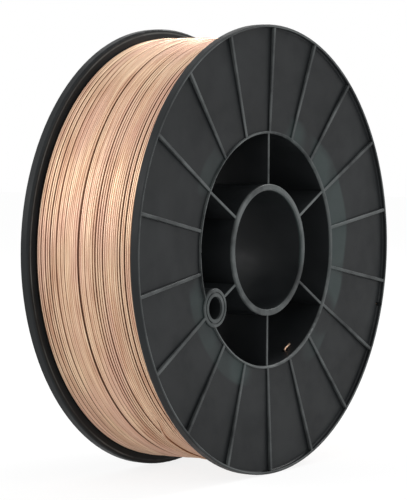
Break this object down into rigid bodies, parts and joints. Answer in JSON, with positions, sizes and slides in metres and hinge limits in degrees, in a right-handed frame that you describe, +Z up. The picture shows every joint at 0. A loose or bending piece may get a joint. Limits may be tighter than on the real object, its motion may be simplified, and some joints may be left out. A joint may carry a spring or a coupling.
{
  "type": "spool of welding wire",
  "caption": "Moulded plastic spool with ribbed flanges, a hollow spoked hub and an off-centre drive eyelet, wound nearly full with copper-coated welding wire.",
  "frame": {"origin": "centre of the spool: on the bore's axis, midway between the two flanges", "axes": "Y along the bore, with the flange that carries the rim hole facing -Y; +Z up, with the spool standing on its two rims; +X to the right as seen from the front"},
  "size_m": [0.2, 0.0624, 0.2],
  "materials": {
    "spool_plastic": "moulded, half gloss, faint scuffs",
    "copper_wire": "bright drawn wire with a thin copper coat"
  },
  "bodies": {
    "root": {"spool": "spool_plastic", "welding_wire": "copper_wire"}
  },
  "joints": []
}
